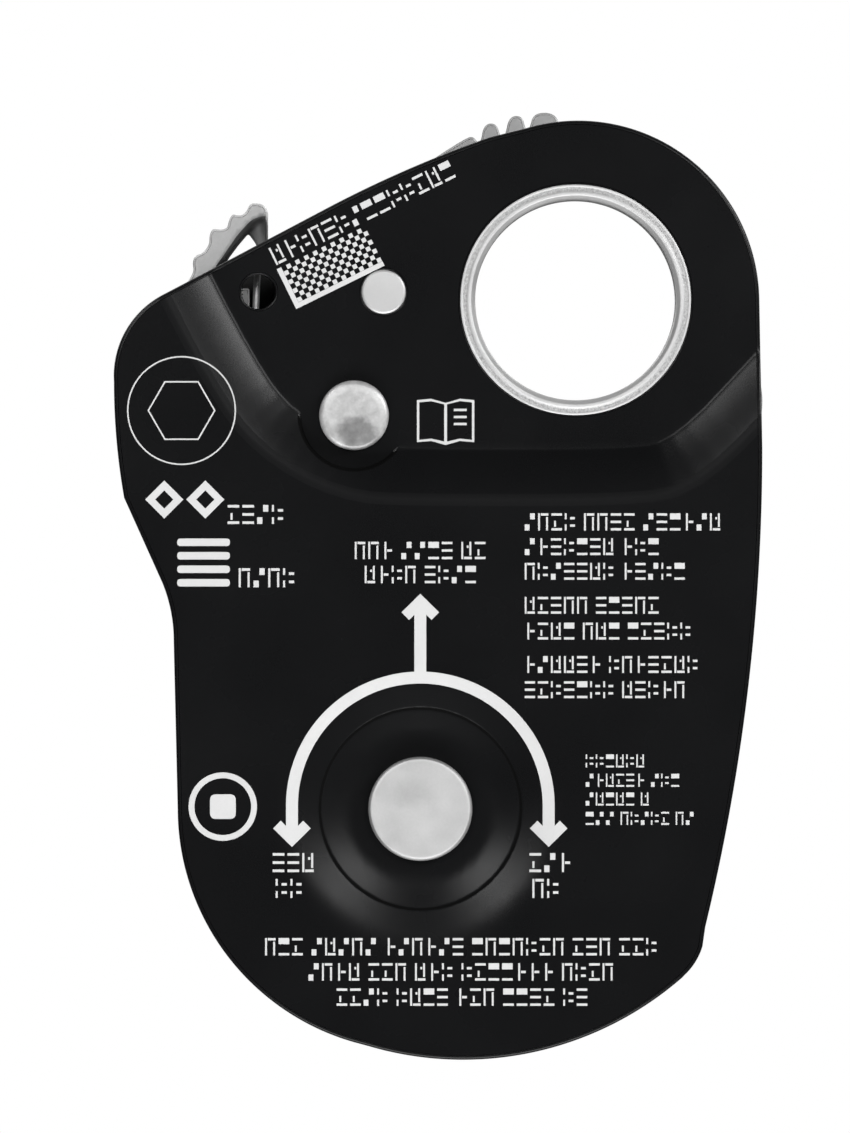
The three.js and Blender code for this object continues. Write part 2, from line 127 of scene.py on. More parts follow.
def circle(centre, radius, count=96):
    angles = np.arange(count) * 2 * math.pi / count
    return np.array([(centre[0] + radius * math.cos(a), centre[1] + radius * math.sin(a)) for a in angles])


def rounded(points, radius, closed=False, steps=4):
    """The polyline with each corner replaced by a small curve."""
    points = [np.array(p, float) for p in points]
    count = len(points)
    out = []
    for i, p in enumerate(points):
        if not closed and i in (0, count - 1):
            out.append(p)
            continue
        a, b = points[i - 1] - p, points[(i + 1) % count] - p
        la, lb = np.linalg.norm(a), np.linalg.norm(b)
        reach = min(radius, 0.45 * la, 0.45 * lb)
        start, end = p + a / la * reach, p + b / lb * reach
        for k in range(steps + 1):
            t = k / steps
            out.append((1 - t) ** 2 * start + 2 * t * (1 - t) * p + t * t * end)
    return [tuple(p) for p in out]


def softened(points, rounds=3):
    """The open line with its corners cut again and again, for cast shapes with no sharp corner."""
    points = np.array(points, float)
    for _ in range(rounds):
        near = points[:-1] * 0.75 + points[1:] * 0.25
        far = points[:-1] * 0.25 + points[1:] * 0.75
        middle = np.empty((2 * len(near), 2))
        middle[0::2], middle[1::2] = near, far
        points = np.concatenate([points[:1], middle, points[-1:]])
    return [tuple(p) for p in points]


def dense(points, step, closed=True):
    """The same line with points no further apart than step, and none closer than a tenth of it."""
    points = [np.array(p, float) for p in points]
    kept = [points[0]]
    for p in points[1:]:
        if np.linalg.norm(p - kept[-1]) > step / 10:
            kept.append(p)
    if closed and np.linalg.norm(kept[0] - kept[-1]) <= step / 10:
        kept.pop()
    out = []
    last = len(kept) if closed else len(kept) - 1
    for i in range(last):
        a, b = kept[i], kept[(i + 1) % len(kept)]
        parts = max(1, math.ceil(np.linalg.norm(b - a) / step))
        out.extend(a + (b - a) * k / parts for k in range(parts))
    if not closed:
        out.append(kept[-1])
    return np.array(out)


def lower_outline(inset):
    return (
        arc((-47.3, -29.08), 13 + inset, 22.3, 0)
        + arc(AXLE, 20.7 - inset, 180, 256)
        + arc((-9.62, -36.4), 28.45 - inset, 253.5, 311.3)
        + arc((5.46, -53.54), 5.6 - inset, 312, 343)
    )


def rear_outline():
    return (
        arc((-157.58, -12.71), 173.5, -13.6, 0)
        + arc((0.21, -0.17), 15.48, 1, 107)
        + arc((26.35, -82.39), 102, 109.3, 117.9)
        + arc((-31.66, -6.47), 7.76, 117.9, 180)
        + arc((17.6, -7.0), 57, 180, 190)
        + lower_outline(0)
    )


THUMB_RIDGES = [
    (-0.95, 15.0), (-1.25, 15.0), (-1.75, 16.15), (-3.55, 16.15), (-3.9, 14.75), (-4.25, 14.7),
    (-4.5, 15.9), (-5.65, 15.85), (-6.0, 14.1), (-6.4, 14.05), (-6.7, 15.25), (-7.8, 15.2),
    (-8.1, 13.6), (-8.35, 13.6), (-8.75, 14.15), (-9.4, 13.95), (-12.33, 12.1), (-13.4, 11.17),
]


def swing_outline():
    inset = 0.35
    return (
        arc((-157.58, -12.71), 173.5 - inset, -13.6, -1.5)
        + arc((9.1, -8.6), 7.0, -25, 25)
        + arc((0.21, -0.17), 15.2, 5, 94)
        + softened(THUMB_RIDGES)
        + arc((26.35, -82.39), 102 - inset, 113.2, 117.5)
        + arc((-21.5, 5.2), 1.9, 115, 180)
        + arc(AXLE, 37.0, 105.9, 100.6)
        + arc(CAM_PIVOT, 2.9, 109, -90)
        + arc(AXLE, 30.35, 100.6, 135)
        + arc((-33.95, -23.5), 1.2, 137, 202.3)
        + lower_outline(inset)
    )


def cam_outline():
    face = []
    to_axle = math.degrees(math.atan2(AXLE[1] - CAM_PIVOT[1], AXLE[0] - CAM_PIVOT[0]))
    teeth = 9
    for i in range(teeth * 2 + 1):
        phi = 24 - 34 * i / (teeth * 2)
        radius = 20.4 + 0.11 * phi - (0 if i % 2 else 0.7)
        a = math.radians(to_axle - phi)
        face.append((CAM_PIVOT[0] + radius * math.cos(a), CAM_PIVOT[1] + radius * math.sin(a)))
    thumb = [
        (-27.2, 8.27), (-27.8, 8.3), (-28.2, 7.45), (-28.75, 7.2), (-29.35, 7.4), (-29.65, 6.8),
        (-29.75, 6.2), (-30.3, 6.0), (-31.05, 6.15), (-31.3, 5.5), (-31.3, 4.8), (-31.8, 4.05),
        (-32.55, 3.8), (-32.75, 3.2), (-32.6, 2.4), (-33.6, 0.9), (-34.6, -1.5),
    ]
    lever = [(-19.48, -3.48), (-21.4, -3.3), (-24.0, -1.95), (-24.9, 0.0), (-24.82, 2.6), (-26.31, 5.2)]
    return (
        arc(CAM_PIVOT, 6.4, -5, 95)
        + rounded(lever, 0.25)[5:]
        + arc((-27.16, 7.42), 0.85, 0, 92)
        + softened(thumb)
        + arc(BUTTON, 3.6, 170, 290)
        + rounded([(-30.4, -9.3), (-27.0, -11.5), (-25.6, -16.5), (-26.2, -24.0), face[0]], 2.5)
        + rounded(face, 0.15)
    )


LEVER_OPENING = [
    (-28.0, 5.75), (-28.85, 4.75), (-29.66, 3.66), (-30.05, 2.95), (-26.7, 2.95), (-27.36, 4.88),
]
LEVER_POCKET = [
    (-26.5, 7.3), (-27.7, 6.9), (-28.93, 5.55), (-30.0, 3.95), (-30.95, 2.6), (-30.3, -0.9),
    (-28.6, -1.9), (-25.4, -1.6), (-25.2, 2.4), (-26.0, 5.2),
]

# The inside corner of the step at the eye, the same line as the CAD plates'.
EYE_ZONE = np.array(softened([
    (-34.0, 8.0), (-27.2, -5.3), (-24.0, -9.5), (-18.9, -12.3), (-14.0, -12.62), (4.5, -12.62),
    (8.4, -11.8), (15.1, -4.7), (21.0, 1.8), (21.0, 24.0), (-34.0, 24.0),
], 2))

# --- Relief of the pressed plates ---


def inside(points, loops):
    """Even-odd test of many points against closed loops."""
    x, z = points[:, 0], points[:, 1]
    odd = np.zeros(len(points), bool)
    for loop in loops:
        a = np.asarray(loop)
        b = np.roll(a, -1, axis=0)
        for (x0, z0), (x1, z1) in zip(a, b):
            crosses = (z0 > z) != (z1 > z)
            if crosses.any():
                at = x0 + (z - z0) / (z1 - z0 if z1 != z0 else 1e-12) * (x1 - x0)
                odd ^= crosses & (x < at)
    return odd


def distance_to_loop(points, loop):
    a = np.asarray(loop)
    b = np.roll(a, -1, axis=0)
    best = np.full(len(points), 1e9)
    for p, q in zip(a, b):
        d = q - p
        t = np.clip(((points - p) @ d) / max(d @ d, 1e-12), 0, 1)
        best = np.minimum(best, np.linalg.norm(points - (p + t[:, None] * d), axis=1))
    return best


def ramp(t, round_low, round_high):
    """0 to 1 over t, straight in the middle, with a curve at each end as wide as it says."""
    t = np.clip(t, -round_low, 1 + round_high)
    low = (t + round_low) ** 2 / (4 * round_low)
    high = 1 - (1 + round_high - t) ** 2 / (4 * round_high)
    return np.where(t > 1 - round_high, high, np.where(t < round_low, low, t))


def step_fall(t):
    """Share of the step's depth that is gone at t of its width: steep first, then a short round end."""
    slope, easing, end_slope, end_start = 0.577, 0.205, 0.364, 0.9
    first = np.minimum(t, end_start)
    past = np.maximum(t - end_start, 0)
    whole = slope * (end_start - easing * end_start ** 2) + end_slope * (1 - end_start) / 2
    gone = slope * (first - easing * first ** 2) + end_slope * (past - past ** 2 / 2 / (1 - end_start))
    return gone / whole


def distance_to_eye_zone(points):
    return np.where(inside(points, [EYE_ZONE]), 0.0, distance_to_loop(points, EYE_ZONE))


def relief(points, pocket=True, width=JOGGLE_WIDTH, straight=False):
    """How far the plate is pressed in towards the rope at each point, in millimetres: fully at the eye,
    falling off over the step's width, in the dish about the axle and in the pocket of the cam's head."""
    away = distance_to_eye_zone(points)
    fillet = 0.3
    reach = np.clip(np.where(away < fillet, away ** 2 / (2 * fillet), away - fillet / 2) / width, 0, 1)
    depth = EYE_DEPTH * (1 - (reach if straight else step_fall(reach)))
    from_axle = np.linalg.norm(points - np.array(AXLE), axis=1)
    floor_rise = ramp((from_axle - DISH_FLAT) / (DISH_CREASE - DISH_FLAT), 0.3, 0.05)
    slope_rise = ramp((from_axle - DISH_CREASE) / (DISH_EDGE - DISH_CREASE), 0.05, 0.4)
    floor_part = DISH_DEPTH - DISH_FLOOR_RISE * floor_rise
    slope_part = (DISH_DEPTH - DISH_FLOOR_RISE) * (1 - slope_rise)
    dish = np.where(from_axle < DISH_CREASE, floor_part, slope_part)
    groove = 0.045 * np.exp(-((from_axle - DISH_CREASE) / 0.07) ** 2)
    depth = np.maximum(depth, dish + groove)
    if pocket:
        from_cam = np.linalg.norm(points - np.array(CAM_PIVOT), axis=1)
        wall = np.clip((from_cam - POCKET_RADIUS) / 0.08, 0, 1)
        depth = np.maximum(depth, EYE_DEPTH * (1 - wall))
    return depth


# --- Mesh makers ---


def add_object(name, data):
    thing = bpy.data.objects.new(name, data)
    bpy.context.scene.collection.objects.link(thing)
    return thing


def new_piece(name, verts, faces, material, body, slot=None, nodes=(), smooth=True):
    mesh = bpy.data.meshes.new(name)
    mesh.from_pydata([Vector(v) * MM for v in verts], [], faces)
    mesh.validate()
    mesh.update()
    if smooth:
        mesh.polygons.foreach_set("use_smooth", [True] * len(mesh.polygons))
    piece = add_object(name, mesh)
    mesh.materials.append(material)
    if body:
        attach(piece, body)
    if nodes:
        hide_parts(*nodes)
    return piece


def inward_normals(loop):
    ahead = np.roll(loop, -1, axis=0) - loop
    behind = loop - np.roll(loop, 1, axis=0)
    ahead /= np.linalg.norm(ahead, axis=1)[:, None]
    behind /= np.linalg.norm(behind, axis=1)[:, None]
    along = ahead + behind
    along /= np.linalg.norm(along, axis=1)[:, None]
    return np.stack([-along[:, 1], along[:, 0]], axis=1)


def clear_of_edges(line, limits):
    keep = inside(line, limits)
    for limit in limits:
        keep &= distance_to_loop(line, limit) > 0.12
    return line[keep]


def triangular_grid(limits, creases, spacing):
    """Even points inside the loops that leave room for the loops and the creases."""
    low, high = limits[0].min(0), limits[0].max(0)
    rows = []
    for r, z in enumerate(np.arange(low[1], high[1], spacing * math.sqrt(3) / 2)):
        xs = np.arange(low[0] + (spacing / 2 if r % 2 else 0), high[0], spacing)
        rows.append(np.stack([xs, np.full(len(xs), z)], axis=1))
    grid = np.concatenate(rows)
    grid = grid[inside(grid, limits)]
    for limit in limits:
        grid = grid[distance_to_loop(grid, limit) > spacing * 0.45]
    for crease in creases:
        gap = np.full(len(grid), 1e9)
        for p in crease:
            gap = np.minimum(gap, np.linalg.norm(grid - p, axis=1))
        grid = grid[gap > spacing * 0.4]
    return grid


def edge_rows(loop, front, back, radius, rim, verts, faces):
    """The rounded wall along one loop. Returns where the rows that bound the two faces start."""
    steps = 4
    normals = inward_normals(loop)
    rows = []

    def add_row(points, y):
        rows.append(len(verts))
        verts.extend(zip(points[:, 0], y, points[:, 1]))

    for height, other in ((front, back), (back, front)):
        for k in range(steps + 1):
            a = math.pi / 2 * k / steps
            points = loop + normals * radius * (1 - math.cos(a))
            y = height(points)
            add_row(points, y + np.sign(other(points) - y) * radius * (1 - math.sin(a)))
        points = loop + normals * (radius + rim)
        add_row(points, height(points))
    order = rows[steps + 1::-1] + rows[steps + 2:]
    for a, b in zip(order, order[1:]):
        for i in range(len(loop)):
            j = (i + 1) % len(loop)
            faces.append((a + i, a + j, b + j, b + i))
    return rows[steps + 1], rows[-1]


def sheet_mesh(outline, holes, front, back, radii, creases=(), spacing=0.6, rim=0.1):
    """A plate between two height functions, with an edge radius for each loop. The outline runs
    counter-clockwise and the holes clockwise, seen along +y, so that the material is on their left."""
    verts, faces, flat, edges, limits = [], [], [], [], []
    front_index, back_index = [], []
    for loop, radius in zip([np.asarray(outline)] + [np.asarray(h) for h in holes], radii):
        count, offset = len(loop), len(flat)
        front_start, back_start = edge_rows(loop, front, back, radius, rim, verts, faces)
        flat += [Vector((x, z)) for x, _, z in verts[front_start:front_start + count]]
        front_index += range(front_start, front_start + count)
        back_index += range(back_start, back_start + count)
        edges += [(offset + i, offset + (i + 1) % count) for i in range(count)]
        limits.append(np.array([tuple(v) for v in flat[offset:]]))
    creases = [clear_of_edges(np.asarray(c), limits) for c in creases]
    flat += [Vector(p) for p in np.concatenate(creases + [triangular_grid(limits, creases, spacing)])]
    out_verts, _, triangles, origins, _, _ = delaunay_2d_cdt(flat, edges, [], 0, 1e-6)
    places = np.array([tuple(v) for v in out_verts])
    front_y, back_y = front(places), back(places)
    front_of, back_of = {}, {}
    for i, source in enumerate(origins):
        at_edge = [s for s in source if s < len(front_index)]
        if at_edge:
            front_of[i], back_of[i] = front_index[at_edge[0]], back_index[at_edge[0]]
        else:
            front_of[i], back_of[i] = len(verts), len(verts) + 1
            verts.append((places[i, 0], front_y[i], places[i, 1]))
            verts.append((places[i, 0], back_y[i], places[i, 1]))
    middles = np.array([places[list(t)].mean(0) for t in triangles])
    for (a, b, c), wanted in zip(triangles, inside(middles, limits)):
        if wanted:
            faces.append((front_of[a], front_of[b], front_of[c]))
            faces.append((back_of[c], back_of[b], back_of[a]))
    return verts, faces


def level(y):
    """The height function of a flat face."""
    return lambda points: np.full(len(points), y)


def lathe_mesh(profile, centre, segments=96):
    """A closed profile of (radius, y) turned about the axle line through centre. The profile runs
    counter-clockwise with the radius to the right, and points on the axis close it."""
    verts, faces, rings = [], [], []
    for r, y in profile:
        rings.append((len(verts), r < 1e-6))
        for i in range(1 if r < 1e-6 else segments):
            a = 2 * math.pi * i / segments
            verts.append((centre[0] + r * math.sin(a), y, centre[1] + r * math.cos(a)))
    for (start, is_point), (end, end_point) in zip(rings, rings[1:] + rings[:1]):
        if is_point and end_point:
            continue
        for i in range(segments):
            j = (i + 1) % segments
            if is_point:
                faces.append((start, end + j, end + i))
            elif end_point:
                faces.append((start + i, start + j, end))
            else:
                faces.append((start + i, start + j, end + j, end + i))
    return verts, faces


def lathe(name, profile, centre, material, body, slot=None, nodes=(), soften=0.08, segments=96):
    on_axis = profile[0][0] < 1e-6
    smooth = rounded(profile, soften, closed=not on_axis, steps=3)
    piece = new_piece(name, *lathe_mesh(smooth, centre, segments), material, body, slot, nodes)
    add_weighted_normals(piece)
    return piece


def add_weighted_normals(piece):
    modifier = piece.modifiers.new("even_shading", "WEIGHTED_NORMAL")
    modifier.keep_sharp = True
    modifier.weight = 80


def face_middles(piece):
    return np.array([polygon.center[:] for polygon in piece.data.polygons]) / MM


def mark_faces(piece, material, wanted):
    """Gives the material to the faces whose centres (x, y, z in millimetres) are wanted."""
    piece.data.materials.append(material)
    for polygon, chosen in zip(piece.data.polygons, wanted(*face_middles(piece).T)):
        if chosen:
            polygon.material_index = len(piece.data.materials) - 1


def ring_profile(inner, outer, low, high):
    return [(inner, low), (outer, low), (outer, high), (inner, high)]


def tube_mesh(points, radius, sides=12):
    """A round wire along a smooth path, with rounded ends."""
    points = np.array(points, float)
    along = np.gradient(points, axis=0)
    along /= np.linalg.norm(along, axis=1)[:, None]
    side = np.cross(along[0], (0, 0, 1.0))
    if np.linalg.norm(side) < 1e-3:
        side = np.cross(along[0], (0, 1.0, 0))
    verts, faces, rings = [], [], []
    last = len(points) - 1
    for i, p in enumerate(points):
        side = side - along[i] * (side @ along[i])
        side /= np.linalg.norm(side)
        other = np.cross(along[i], side)
        tilts = (-80, -50, -25, 0) if i == 0 else (0, 25, 50, 80) if i == last else (0,)
        for tilt in np.radians(tilts):
            rings.append(len(verts))
            centre = p + along[i] * radius * math.sin(tilt)
            for k in range(sides):
                a = 2 * math.pi * k / sides
                outward = math.cos(a) * side + math.sin(a) * other
                verts.append(tuple(centre + radius * math.cos(tilt) * outward))
    for a, b in zip(rings, rings[1:]):
        for k in range(sides):
            m = (k + 1) % sides
            faces.append((a + k, a + m, b + m, b + k))
    faces.append(tuple(rings[0] + k for k in reversed(range(sides))))
    faces.append(tuple(rings[-1] + k for k in range(sides)))
    return verts, faces


def spline(points, per_span=8):
    """A smooth curve through the points."""
    p = np.array(points, float)
    p = np.concatenate([[2 * p[0] - p[1]], p, [2 * p[-1] - p[-2]]])
    out = []
    for i in range(1, len(p) - 2):
        for k in range(per_span):
            t = k / per_span
            a, b, c, d = p[i - 1], p[i], p[i + 1], p[i + 2]
            out.append(0.5 * (2 * b + (c - a) * t + (2 * a - 5 * b + 4 * c - d) * t ** 2
                              + (3 * b - a - 3 * c + d) * t ** 3))
    out.append(p[-2])
    return out


# --- Materials ---


def add_node(tree, kind, inputs=(), **settings):
    """A new shader node. Each input, by name or number, is a value or another node's output."""
    node = tree.nodes.new("ShaderNode" + kind)
    for name, value in settings.items():
        setattr(node, name, value)
    for name, value in dict(inputs).items():
        if isinstance(value, bpy.types.NodeSocket):
            tree.links.new(value, node.inputs[name])
        else:
            node.inputs[name].default_value = value
    return node


def surface(name, dark, light, roughness, metallic, grain=6000, bump=0.04, spread=0.06, blotch=120,
            specular=0.5, bump_size=0.00002):
    """Principled surface: fine grain in the bump, slow variation in colour and roughness."""
    material = bpy.data.materials.new(name)
    material.use_nodes = True
    tree = material.node_tree
    shader = tree.nodes["Principled BSDF"]
    shader.inputs["Metallic"].default_value = metallic
    shader.inputs["Specular IOR Level"].default_value = specular
    place = add_node(tree, "TexCoord").outputs["Object"]
    fine = add_node(tree, "TexNoise", {"Vector": place, "Scale": grain, "Detail": 3}).outputs["Fac"]
    slow = add_node(tree, "TexNoise", {"Vector": place, "Scale": blotch, "Detail": 5}).outputs["Fac"]
    slow_part = add_node(tree, "Math", {0: slow, 1: 0.65}, operation="MULTIPLY")
    both = add_node(tree, "Math", {0: fine, 1: 0.35, 2: slow_part.outputs[0]}, operation="MULTIPLY_ADD")
    middle_range = {"From Min": 0.3, "From Max": 0.7}
    share = add_node(tree, "MapRange", {"Value": both.outputs[0], **middle_range})
    shades = {"Factor": share.outputs["Result"], "A": (*dark, 1), "B": (*light, 1)}
    colour = add_node(tree, "Mix", shades, data_type="RGBA")
    limits = {"To Min": roughness - spread, "To Max": roughness + spread}
    rough = add_node(tree, "MapRange", {"Value": slow, **middle_range, **limits})
    raised = add_node(tree, "Bump", {"Height": fine, "Strength": bump, "Distance": bump_size})
    tree.links.new(colour.outputs["Result"], shader.inputs["Base Color"])
    tree.links.new(rough.outputs["Result"], shader.inputs["Roughness"])
    tree.links.new(raised.outputs["Normal"], shader.inputs["Normal"])
    return material


def multiply_colour(material, factor):
    tree = material.node_tree
    base = tree.nodes["Principled BSDF"].inputs["Base Color"]
    parts = {"Factor": 1.0, "A": base.links[0].from_socket, "B": factor}
    darker = add_node(tree, "Mix", parts, data_type="RGBA", blend_type="MULTIPLY")
    tree.links.new(darker.outputs["Result"], base)
    return material


def smooth_range(tree, value, start, end, low, high):
    """The value's range from start to end, turned smoothly into low to high."""
    limits = {"Value": value, "From Min": start, "From Max": end, "To Min": low, "To Max": high}
    return add_node(tree, "MapRange", limits, interpolation_type="SMOOTHSTEP").outputs["Result"]


def add_dark_patch(material, centre, radius, shade, soft):
    """A soft-edged darker patch on one side of a head."""
    tree = material.node_tree
    place = add_node(tree, "TexCoord").outputs["Object"]
    to_centre = (-centre[0] * MM, 0, -centre[1] * MM)
    flat = add_node(tree, "VectorMath", {0: place, 1: (1, 0, 1), 2: to_centre}, operation="MULTIPLY_ADD")
    away = add_node(tree, "VectorMath", {0: flat.outputs["Vector"]}, operation="LENGTH").outputs["Value"]
    ragged = add_node(tree, "TexNoise", {"Vector": place, "Scale": 900, "Detail": 6}).outputs["Fac"]
    reach = add_node(tree, "Math", {0: ragged, 1: 0.9 * radius * MM, 2: away}, operation="MULTIPLY_ADD")
    start, end = (1.4 - soft / 2) * radius * MM, (1.4 + soft / 2) * radius * MM
    return multiply_colour(material, smooth_range(tree, reach.outputs[0], start, end, shade, 1.0))


def add_painted_shade_fade(material, x_low, x_high, low, high):
    """Painted shade: darkens the colour towards the left, low at x_low and high at x_high."""
    tree = material.node_tree
    split = add_node(tree, "SeparateXYZ", {"Vector": add_node(tree, "TexCoord").outputs["Object"]})
    fade = smooth_range(tree, split.outputs["X"], x_low * MM, x_high * MM, low, high)
    return multiply_colour(material, fade)


def add_turning_marks(material, centre, pitch, strength=0.15):
    """Fine rings round an axle line, as a lathe leaves them, added to the material's bump."""
    tree = material.node_tree
    normal = tree.nodes["Principled BSDF"].inputs["Normal"]
    place = add_node(tree, "TexCoord").outputs["Object"]
    shift = add_node(tree, "Mapping", {"Vector": place, "Location": (-centre[0] * MM, 0, -centre[1] * MM)})
    waves = {"Vector": shift.outputs["Vector"], "Scale": 1 / pitch / MM / 20, "Distortion": 0.6}
    rings = add_node(tree, "TexWave", waves, wave_type="RINGS", rings_direction="Y")
    bump = add_node(tree, "Bump", {
        "Height": rings.outputs["Fac"], "Strength": strength, "Distance": 0.00002,
        "Normal": normal.links[0].from_socket,
    })
    tree.links.new(bump.outputs["Normal"], normal)
    return material


def grey(value):
    return (value, value, value)


ANODISED_GRAIN = {"grain": 9000, "bump": 0.08, "spread": 0.02, "blotch": 90}
BLACK = surface("black_anodised", (0.0034, 0.0035, 0.0038), (0.0044, 0.0045, 0.0048), 0.27, 0.0,
                specular=0.14, **ANODISED_GRAIN)
# Painted light and shade: a duller, slightly lighter copy of the black, laid over the band where the step
# ends to soften the light it catches there.
BLACK_PAINTED_STEP_END = surface("black_anodised_painted_step_end", (0.0046, 0.0047, 0.0050), (0.0056, 0.0057, 0.0060), 0.4, 0.0,
                     specular=0.06, **ANODISED_GRAIN)
# Painted shadow: a near-black matt copy of the black, laid on the cam pocket's wall and the dish's crease
# ring where shade falls.
BLACK_PAINTED_SHADOW = surface("black_anodised_painted_shadow", grey(0.002), grey(0.003), 0.7, 0.0, grain=9000, bump=0.05,
                     blotch=90, specular=0.02)
GREY = surface("grey_anodised", grey(0.27), grey(0.29), 0.48, 0.4, grain=9000, bump=0.2, blotch=2500)
INK = surface("white_print", grey(0.44), grey(0.48), 0.6, 0.0, grain=7000, bump=0.05, blotch=400,
              specular=0.2)
RIVET_GRAIN = {"grain": 4500, "spread": 0.05}
RIVET = surface("rivet_steel", grey(0.42), grey(0.46), 0.5, 0.5, bump=0.08, blotch=260, **RIVET_GRAIN)
# Darker patches on two heads: a fan below the cam rivet's centre and a faint smudge up and left of the
# axle's centre.
RIVET_CAM = add_dark_patch(
    surface("cam_rivet_steel", grey(0.35), grey(0.5), 0.45, 0.5, bump=0.1, blotch=1400, **RIVET_GRAIN),
    (CAM_PIVOT[0] + 0.4, CAM_PIVOT[1] - 1.75), 1.75, 0.48, 0.5)
RIVET_AXLE = add_dark_patch(
    surface("axle_rivet_steel", grey(0.4), grey(0.46), 0.5, 0.5, bump=0.08, blotch=420, **RIVET_GRAIN),
    (AXLE[0] - 0.75, AXLE[1] + 1.5), 1.3, 0.84, 1.3)
# Painted shade: a darker copy of the rivet steel for the rim of the axle pin's head, to keep its edge dark.
RIVET_EDGE_PAINTED_SHADE = surface("rivet_edge_painted_shade", grey(0.2), grey(0.28), 0.5, 0.6, grain=4500, bump=0.1, blotch=260)
LINING = surface("lining_steel", grey(0.42), grey(0.5), 0.55, 0.35, grain=5000, bump=0.08, blotch=300)
LINING_ROUGH = surface("lining_worn", grey(0.2), grey(0.5), 0.55, 0.5, grain=9000, bump=0.6, blotch=4500,
                       bump_size=0.00004)
LINING_BORE = surface("lining_bore", grey(0.3), grey(0.36), 0.5, 0.5, grain=5000, bump=0.08, blotch=300)
CAST_GRAIN = {"grain": 3600, "bump": 0.3, "blotch": 200, "bump_size": 0.00004}
CAST = surface("cast_steel", grey(0.4), grey(0.49), 0.55, 0.35, **CAST_GRAIN)
# Painted shade for the lever's pocket: a darker cast steel, darkest towards the pocket's left wall.
CAST_SHADE = add_painted_shade_fade(surface("cast_steel_pocket_painted_shade", grey(0.24), grey(0.28), 0.6, 0.3, **CAST_GRAIN),
                      -27.9, -26.9, 0.25, 0.8)
# Painted shadow: near-black cast steel for the deep floor of the lever's pocket, where shade falls.
CAST_PAINTED_SHADOW = surface("cast_steel_painted_shadow", grey(0.02), grey(0.035), 0.6, 0.3, **CAST_GRAIN)
BEARING = surface("bearing_steel", grey(0.6), grey(0.7), 0.16, 1.0, bump=0.03)
SPRING = surface("spring_steel", grey(0.6), grey(0.7), 0.35, 0.6, grain=5200, bump=0.08)
SHEAVE = add_turning_marks(
    surface("sheave_aluminium", grey(0.5), grey(0.6), 0.3, 0.95, bump=0.05), AXLE, 0.25)
BRONZE = surface("bush_bronze", (0.28, 0.17, 0.06), (0.4, 0.26, 0.11), 0.4, 0.9, bump=0.2)
RUBBER = surface("seal_rubber", grey(0.012), grey(0.022), 0.7, 0.0, bump=0.3)
BRASS = surface("cage_brass", (0.5, 0.33, 0.1), (0.6, 0.42, 0.16), 0.3, 1.0, bump=0.05)

# --- Side plates ---

EYE_HOLE = 9.8
INNER_STEP_WIDTH = 3.2


def plate_creases():
    zone = [np.array(p) for p in EYE_ZONE]
    lines = []
    for offset in (0.0, 0.15, 0.3, 0.5, 0.9, 1.5, 2.2, 2.9, 3.5, 3.95, 4.3, 4.6, 5.0):
        line = []
        for i, p in enumerate(zone):
            a, b = zone[i - 1], zone[(i + 1) % len(zone)]
            along_in, along_out = (p - a) / np.linalg.norm(p - a), (b - p) / np.linalg.norm(b - p)
            normal = np.array([along_in[1] + along_out[1], -along_in[0] - along_out[0]])
            normal /= np.linalg.norm(normal)
            line.append(p + normal * offset / max(0.5, normal @ (along_in[1], -along_in[0])))
        line = dense(line, 0.4)
        lines.append(line[np.linalg.norm(line - np.array(CAM_PIVOT), axis=1) > 5.15])
    dish_radii = (5.2, 6.0, 6.8, 7.6, 8.3, 8.46, DISH_CREASE, 8.68, 8.84, 9.4, 10.0, 10.7, 11.3, 11.9, 12.5)
    lines += [circle(AXLE, radius, 150) for radius in dish_radii]
    lines += [circle(CAM_PIVOT, POCKET_RADIUS + more, 110) for more in (-0.12, 0.0, 0.08, 0.2)]
    return lines


def pressed_plate(side, outline, holes, radii, rim):
    """side is -1 for the rear plate and 1 for the swinging one."""
    def outer(points):
        return side * (MAIN_OUTER - relief(points))

    def inner(points):
        pressed = relief(points, pocket=False, width=INNER_STEP_WIDTH, straight=True)
        return side * (MAIN_OUTER - PLATE_THICKNESS - pressed)

    front, back = (outer, inner) if side < 0 else (inner, outer)
    return sheet_mesh(dense(outline, 0.3), holes, front, back, radii, plate_creases(), spacing=0.6, rim=rim)


def hole(centre, radius):
    return circle(centre, radius, max(32, int(radius * 14)))[::-1]


def rear_plate():
    holes = [hole(EYE, EYE_HOLE), hole(AXLE, 4.05), hole(CAM_PIVOT, 2.6)]
    holes += [hole(STOP_PIN, 1.95), hole(WINDOW, 1.48)]
    mesh = pressed_plate(-1, rear_outline(), holes, [0.28, 0.15, 0.08, 0.08, 0.06, 0.12], 0.08)
    piece = new_piece("rear_plate_shell", *mesh, BLACK, "root", "black_anodised", ["rear_side_plate"])
    add_weighted_normals(piece)

    def at_step_end(x, y, z):
        away = distance_to_eye_zone(np.stack([x, z], axis=1))
        return (away > 3.9) & (away < 5.0)

    def in_shadow_line(x, y, z):
        from_cam = np.hypot(x - CAM_PIVOT[0], z - CAM_PIVOT[1])
        from_axle = np.hypot(x - AXLE[0], z - AXLE[1])
        at_wall = relief(np.stack([x, z], axis=1), pocket=False) < EYE_DEPTH - 0.12
        walled = (from_cam > 4.45) & (from_cam < 4.86) & at_wall
        return (y < -7) & (walled | ((from_axle > 8.44) & (from_axle < 8.7)))

    # The band where the step ends gets the painted light and shade.
    mark_faces(piece, BLACK_PAINTED_STEP_END, at_step_end)
    # The pocket's wall and the dish's crease ring get the painted shadow.
    mark_faces(piece, BLACK_PAINTED_SHADOW, in_shadow_line)


def swing_plate():
    holes = [hole(EYE, EYE_HOLE), hole(AXLE, 4.95)]
    mesh = pressed_plate(1, swing_outline(), holes, [0.14, 0.15, 0.1], 0.05)
    piece = new_piece("swing_plate_shell", *mesh, GREY, "swing_plate", "grey_anodised",
                      ["swing_side_plate"])
    add_weighted_normals(piece)


